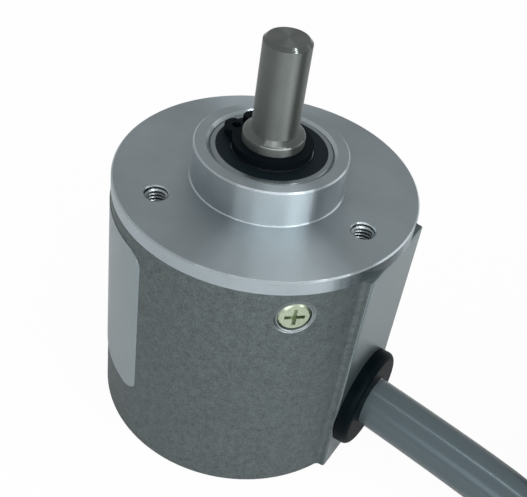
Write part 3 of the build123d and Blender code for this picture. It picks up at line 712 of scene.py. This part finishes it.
# %% [markdown]
# ## Rubber and the grey jacket
# The gland and the bearing's seal are black rubber that the tent hardly lights. Real rubber is
# a little lighter than this, but the photo is exposed for the metal, so both are very dark
# here. The retaining ring is blackened steel and looks much the same. The cable's jacket is
# smooth grey plastic: its sheen is what draws the line of light, so it is the glossiest.

# %% Rubber, jacket and blackened steel
RUBBERS = {
    # slot: (colour, roughness, grain size, depth, contrast, gloss)
    "seal_rubber": ((0.004, 0.008, 0.011), 0.50, 0.4 * MM, 0.0100 * MM, 0.20, 0.12),
    "black_rubber": ((0.001, 0.003, 0.0045), 0.42, 0.6 * MM, 0.0100 * MM, 0.20, 0.04),
    "black_spring_steel": ((0.002, 0.004, 0.006), 0.50, 0.4 * MM, 0.0040 * MM, 0.12, 0.06),
    "black_sleeve": ((0.012, 0.012, 0.012), 0.50, 0.4 * MM, 0.0040 * MM, 0.12, 0.20),
    "grey_jacket": ((0.072, 0.093, 0.103), 0.20, 0.8 * MM, 0.0002 * MM, 0.03, 0.45),
}
for slot, (colour, roughness, size, depth, contrast, gloss) in RUBBERS.items():
    FINISHES[slot] = speckled(slot, colour, roughness, grain_size=size, depth=depth,
                              contrast=contrast, gloss=gloss)
print("rubbers and jacket:", len(RUBBERS))

# %% [markdown]
# ## Label, plastics and the board
# The label is a satin silver film: a smooth, even tone with hardly any grain. The plastics,
# the green board, the lamp's lens and the slotted mask are inside, but each keeps a finish of
# its own, so the encoder can be shown opened up.

# %% Label, plastics and board
SMOOTH = {"grain_size": 2.0 * MM, "depth": 0.0001 * MM, "contrast": 0.03}
PLAIN_FINISHES = {
    # slot: (colour, roughness, what differs from the recipe)
    "silver_label": ((0.192, 0.235, 0.252), 0.35,
                     {"metallic": 0.2, "grain_size": 0.3 * MM, "depth": 0.001 * MM,
                      "contrast": 0.04}),
    "black_plastic": ((0.015, 0.015, 0.016), 0.45, {}),
    "white_plastic": ((0.70, 0.68, 0.62), 0.40, {}),
    "board_green": ((0.012, 0.11, 0.045), 0.30, {"grain_size": 0.7 * MM, "contrast": 0.15}),
    "clear_lens": ((0.55, 0.52, 0.62), 0.10, SMOOTH),
    "reticle_glass": ((0.42, 0.46, 0.47), 0.08, {"metallic": 0.3, **SMOOTH}),
}
for slot, (colour, roughness, settings) in PLAIN_FINISHES.items():
    FINISHES[slot] = speckled(slot, colour, roughness, **settings)
print("label, plastics and board:", len(PLAIN_FINISHES))

# %% [markdown]
# ## The wires
# Five wires leave the jacket, each with its own colour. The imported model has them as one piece
# with a separate solid for each wire. They could be split into five pieces, but a node that
# gives a random number for each solid picks the colour as well, and the piece stays whole. A
# little grey, in clouds, takes the newness off.

# %% Insulated wires
WIRE_COLOURS = (
    (0.020, 0.020, 0.022),
    (0.36, 0.020, 0.015),
    (0.62, 0.61, 0.58),
    (0.025, 0.20, 0.06),
    (0.48, 0.16, 0.02),
)
DUST = (0.3, 0.3, 0.3)
MOST_DUST = 0.15
DUST_SIZE = 2 * MM
WIRE_ROUGHNESS = 0.35


def wire_colours(name):
    """Smooth insulation with another colour for each wire of a bundle."""
    material, tree, shader = new_material(name)
    wire = tree.nodes.new("ShaderNodeNewGeometry").outputs["Random Per Island"]
    stops = [(index / len(WIRE_COLOURS), colour) for index, colour in enumerate(WIRE_COLOURS)]
    colour = ramp(tree, wire, stops, "CONSTANT")
    dust = scaled(tree, grain(tree, object_point(tree), DUST_SIZE), 0.0, MOST_DUST)
    tree.links.new(blend(tree, dust, colour, DUST), shader.inputs["Base Color"])
    shader.inputs["Roughness"].default_value = WIRE_ROUGHNESS
    return material


FINISHES["wire_insulation"] = wire_colours("wire_insulation")
print("finishes:", len(FINISHES))

# %% [markdown]
# ## Every piece gets its finish
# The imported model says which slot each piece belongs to, so a loop over its list is enough.
# No piece is named here, and a new piece in the model would be dressed without a change.

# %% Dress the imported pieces
for subpart in frame["record"]["subparts"]:
    piece = nodes[subpart["node"]]
    piece.data.materials.clear()
    piece.data.materials.append(FINISHES[subpart["material_slot"]])

# %% [markdown]
# ## Threads in the mounting holes
# The model has plain bores at the outer diameter of the M3 thread, and two of the holes show
# their threads in the photo. A thread could be a bump, but it would vanish at the mouth, where
# the light falls on it. It could be cut out of the front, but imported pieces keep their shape.
# So each hole gets a ridge of its own: a tube with three sides that winds down the bore, half
# a millimetre per turn.

# %% Threads
HOLE_TOP = 38.0
THREAD_START = 0.45     # first turn below the face
THREAD_PITCH = 0.5
THREAD_ROOT = 1.495
THREAD_CREST = 1.24
RIDGE_HALF = THREAD_PITCH * 0.30
THREAD_TURNS = 11
STEPS_PER_TURN = 24


def thread_ring(middle, step):
    """The three corners of the ridge at one step of the helix."""
    turn = 2 * math.pi * step / STEPS_PER_TURN
    height = HOLE_TOP - THREAD_START - THREAD_PITCH * step / STEPS_PER_TURN
    corners = ((THREAD_ROOT, -RIDGE_HALF), (THREAD_CREST, 0.0), (THREAD_ROOT, RIDGE_HALF))
    return [
        ((middle[0] + r * math.cos(turn)) * MM,
         (middle[1] + r * math.sin(turn)) * MM,
         (height + rise) * MM)
        for r, rise in corners
    ]


def add_thread(shape, middle):
    """Wind one closed ridge into a bmesh."""
    rings = [[shape.verts.new(corner) for corner in thread_ring(middle, step)]
             for step in range(THREAD_TURNS * STEPS_PER_TURN + 1)]
    for ring, following in zip(rings, rings[1:]):
        for side in range(3):
            other = (side + 1) % 3
            shape.faces.new((ring[side], ring[other], following[other], following[side]))
    shape.faces.new(rings[0])
    shape.faces.new(reversed(rings[-1]))


shape = bmesh.new()
for angle in HOLE_ANGLES:
    add_thread(shape, hole_middle(angle))
bmesh.ops.recalc_face_normals(shape, faces=shape.faces)
thread_mesh = bpy.data.meshes.new("mount_threads")
shape.to_mesh(thread_mesh)
shape.free()
thread_mesh.materials.append(speckled("cut_threads", (0.42, 0.47, 0.49), 0.30, metallic=1.0))
threads = bpy.data.objects.new("mount_threads", thread_mesh)
bpy.context.scene.collection.objects.link(threads)
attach(threads, "housing")
print("thread faces:", len(thread_mesh.polygons))

# %% [markdown]
# ## The cable leaves the gland
# The cable is 1.5 m long, a usual length for such an encoder. The picture shows its first 3 cm:
# it leaves the gland level, sinks slowly to the floor, because it is stiff, and turns slightly
# aside. The whole cable is one smooth curve, and these are the first points of its route. A
# simulation could find the route too, but this way it is sure to fit the picture.

# %% First stretch of the route
CABLE_RADIUS = 3.5 * MM
GLAND_FACE = 21.75
CABLE_HEIGHT = 9.7

run_in = [
    (GLAND_FACE, 0.0, CABLE_HEIGHT),
    (40.0, -1.8, 9.2),
    (49.5, -3.0, 7.7),
    (58.0, -5.6, 4.9),
    (66.9, -10.55, 3.5),
]
print("first stretch:", len(run_in), "points")

# %% [markdown]
# ## The coil
# Out of the picture the cable is wound into a coil of three layers, as it lies on a bench
# after unpacking. The first layer winds inwards, the next one outwards on top of it and the
# last one inwards again, with a short climb between them. Closed rings would be simpler, but a
# real cable is one piece, and its length could not be measured then.

# %% Turns of the coil
COIL_MIDDLE = (88.0, 26.0)
COIL_START = -120.0
COIL_TURNS = 6.07
FIRST_TURN = 42.3
PITCH = 7.35
LAYER_TURNS = 2.0
CLIMB_TURNS = 0.25
LAYER_HEIGHTS = (3.5, 10.5, 17.5)
POINTS_PER_TURN = 16


def coil_point(angle, radius, height):
    """A point of the coil, by its angle in degrees and its distance from the coil's middle."""
    turn = math.radians(angle)
    return (COIL_MIDDLE[0] + radius * math.cos(turn),
            COIL_MIDDLE[1] + radius * math.sin(turn), height)


def coil_step(turns):
    """Radius and height of the cable after this many turns."""
    inner = FIRST_TURN - PITCH * LAYER_TURNS
    layer_span = LAYER_TURNS + CLIMB_TURNS
    layer = min(int(turns / layer_span), len(LAYER_HEIGHTS) - 1)
    wound = turns - layer * layer_span
    spiral = min(wound, LAYER_TURNS)
    radius = inner + PITCH * spiral if layer == 1 else FIRST_TURN - PITCH * spiral
    climbed = max(0.0, wound - LAYER_TURNS) / CLIMB_TURNS
    return radius, LAYER_HEIGHTS[layer] + climbed * 2 * CABLE_RADIUS / MM


def coil_points():
    """The turns of the coil, at even steps."""
    steps = round(COIL_TURNS * POINTS_PER_TURN)
    points = []
    for step in range(1, steps + 1):
        turns = COIL_TURNS * step / steps
        radius, height = coil_step(turns)
        points.append(coil_point(COIL_START + 360 * turns, radius, height))
    return points


print("coil:", COIL_TURNS, "turns,", len(coil_points()), "points")

# %% [markdown]
# ## The tail
# The end of the cable has to meet the sleeve and the bare leads, which belong to the packed
# model and lie on top of the coil. So the last stretch climbs onto the coil, swings round in a
# wide bend and lies straight across it. Its points are given as seen from the coil's middle,
# in a frame that is turned until the straight piece ends at the sleeve.

# %% Tail
TAIL_TURN = -75.0
TAIL_REACH = 34.0
TAIL_HEIGHT = 24.92
TAIL_STEP_UP = (20, 2.5)            # degrees past the last turn, and the rise there
TAIL_STEP_ON = (42, 0.5, 24.0)      # degrees, outwards, and the height there
TAIL_SWING = ((22.3, 29.0), (8.0, 38.0))
TAIL_BEND = 26.6
TAIL_BEND_MIDDLE = (TAIL_BEND - TAIL_REACH - 0.6, 15.0)
TAIL_BEND_ANGLES = (75, 100, 125, 150, 172)
TAIL_STRAIGHT = (10.0, 5.0, 0.0)


def tail_plan():
    """The tail seen from above, from the edge of the coil to the sleeve."""
    plan = list(TAIL_SWING)
    for angle in TAIL_BEND_ANGLES:
        turn = math.radians(angle)
        plan.append((TAIL_BEND_MIDDLE[0] + TAIL_BEND * math.cos(turn),
                     TAIL_BEND_MIDDLE[1] + TAIL_BEND * math.sin(turn)))
    plan += [(-TAIL_REACH, y) for y in TAIL_STRAIGHT]
    return plan


def tail_points():
    """The last stretch: up from the coil, round the bend and straight to the sleeve."""
    end_angle = COIL_START + 360 * COIL_TURNS
    radius, height = coil_step(COIL_TURNS)
    up_angle, rise = TAIL_STEP_UP
    on_angle, outwards, on_height = TAIL_STEP_ON
    points = [coil_point(end_angle + up_angle, radius, height + rise),
              coil_point(end_angle + on_angle, radius + outwards, on_height)]
    for x, y in tail_plan():
        angle = math.degrees(math.atan2(y, x)) + TAIL_TURN
        points.append(coil_point(angle, math.hypot(x, y), TAIL_HEIGHT))
    return points


print("tail:", len(tail_points()), "points")

# %% [markdown]
# ## One smooth cable
# A NURBS curve with a round section runs smoothly inside the corners of its route, as a stiff
# cable does, and it is still one tube when the route changes.

# %% The cable
ROUND_STEPS = 12
STEPS_ALONG = 10


def smooth_tube(name, points_mm, radius, finish):
    """One smooth tube through a route given in millimetres."""
    data = bpy.data.curves.new(name, "CURVE")
    data.dimensions = "3D"
    data.bevel_depth = radius
    data.bevel_resolution = ROUND_STEPS
    data.resolution_u = STEPS_ALONG
    data.use_fill_caps = True
    spline = data.splines.new("NURBS")
    spline.points.add(len(points_mm) - 1)
    for point, place in zip(spline.points, points_mm):
        point.co = (*(value * MM for value in place), 1)
    spline.order_u = 3
    spline.use_endpoint_u = True
    data.materials.append(finish)
    piece = bpy.data.objects.new(name, data)
    bpy.context.scene.collection.objects.link(piece)
    return piece


route = run_in + coil_points() + tail_points()
lead = smooth_tube("cable_lead", route, CABLE_RADIUS, FINISHES["grey_jacket"])
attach(lead, "housing")
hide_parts("cable", "cable_coil", "cable_tail")
print("cable points:", len(route), "length:", round(lead.data.splines[0].calc_length(), 3), "m")

# %% [markdown]
# ## The view transform
# Colours are shown with the Standard view transform.

# %% Finish
bpy.context.scene.view_settings.view_transform = "Standard"
